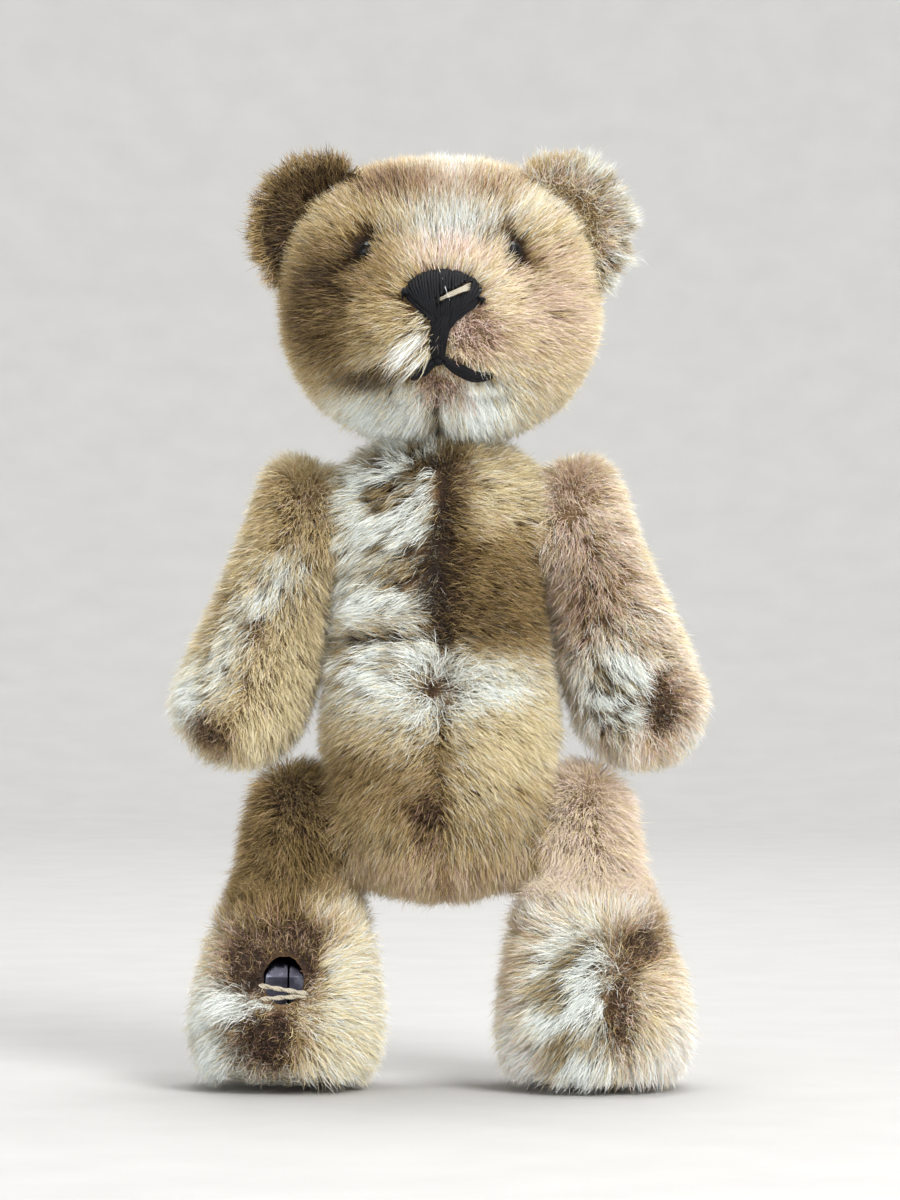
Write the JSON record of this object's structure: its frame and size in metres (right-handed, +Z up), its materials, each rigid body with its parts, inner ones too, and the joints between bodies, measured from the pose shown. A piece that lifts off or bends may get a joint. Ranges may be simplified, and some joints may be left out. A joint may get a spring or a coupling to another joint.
{
  "type": "teddy bear",
  "caption": "Jointed miniature teddy bear: mohair covers over pressed steel shells, with head, arms and legs turning on sprung pins, and a black stitched nose and mouth.",
  "frame": {"origin": "on the ground, under the middle of the standing bear's outline", "axes": "+Z up along the standing bear, -Y the way it faces, +X to its left side"},
  "size_m": [0.051, 0.0322, 0.0891],
  "materials": {
    "mohair": "short mohair pile, cream to honey, worn in places",
    "steel_shell": "pressed bare steel, dulled",
    "pin_steel": "bright drawn steel wire and pins",
    "fibre_washer": "red-brown vulcanised fibre",
    "eye_black": "glossy black enamel",
    "nose_thread": "black cotton embroidery thread",
    "mending_thread": "off-white cotton thread"
  },
  "bodies": {
    "torso": {"torso_shell_front": "steel_shell", "torso_shell_back": "steel_shell", "torso_cover": "mohair", "shoulder_pin_left": "pin_steel", "shoulder_pin_right": "pin_steel", "shoulder_spring": "pin_steel", "shoulder_washer_left": "fibre_washer", "shoulder_washer_right": "fibre_washer", "hip_pin_left": "pin_steel", "hip_pin_right": "pin_steel", "hip_spring": "pin_steel", "hip_washer_left": "fibre_washer", "hip_washer_right": "fibre_washer", "neck_pin": "pin_steel", "neck_washer": "fibre_washer", "neck_spring": "pin_steel", "neck_retainer": "fibre_washer"},
    "head": {"head_shell_front": "steel_shell", "head_shell_back": "steel_shell", "head_cover": "mohair", "ear_left": "mohair", "ear_right": "mohair", "eye_left": "eye_black", "eye_right": "eye_black", "nose_stitching": "nose_thread", "philtrum_stitch": "nose_thread", "mouth_stitch_left": "nose_thread", "mouth_stitch_right": "nose_thread"},
    "arm_left": {"arm_left_shell_inner": "steel_shell", "arm_left_shell_outer": "steel_shell", "arm_left_cover": "mohair"},
    "arm_right": {"arm_right_shell_inner": "steel_shell", "arm_right_shell_outer": "steel_shell", "arm_right_cover": "mohair"},
    "leg_left": {"leg_left_shell_inner": "steel_shell", "leg_left_shell_outer": "steel_shell", "leg_left_cover": "mohair"},
    "leg_right": {"leg_right_shell_inner": "steel_shell", "leg_right_shell_outer": "steel_shell", "leg_right_cover": "mohair", "toe_stitch_upper": "mending_thread", "toe_stitch_lower": "mending_thread"}
  },
  "joints": [
    {"name": "neck_swivel", "type": "hinge", "parent": "torso", "child": "head", "pos_m": [0, 0.0031, 0.062], "axis": [0, 0, 1], "continuous": true},
    {"name": "shoulder_left", "type": "hinge", "parent": "torso", "child": "arm_left", "pos_m": [0.00935, 0.0031, 0.054], "axis": [-1, 0, 0], "range_deg": [-120, 130]},
    {"name": "hip_left", "type": "hinge", "parent": "torso", "child": "leg_left", "pos_m": [0.0095, 0.0031, 0.025], "axis": [-1, 0, 0], "range_deg": [-90, 95]},
    {"name": "shoulder_right", "type": "hinge", "parent": "torso", "child": "arm_right", "pos_m": [-0.00935, 0.0031, 0.054], "axis": [-1, 0, 0], "range_deg": [-120, 130]},
    {"name": "hip_right", "type": "hinge", "parent": "torso", "child": "leg_right", "pos_m": [-0.0095, 0.0031, 0.025], "axis": [-1, 0, 0], "range_deg": [-90, 95]}
  ]
}
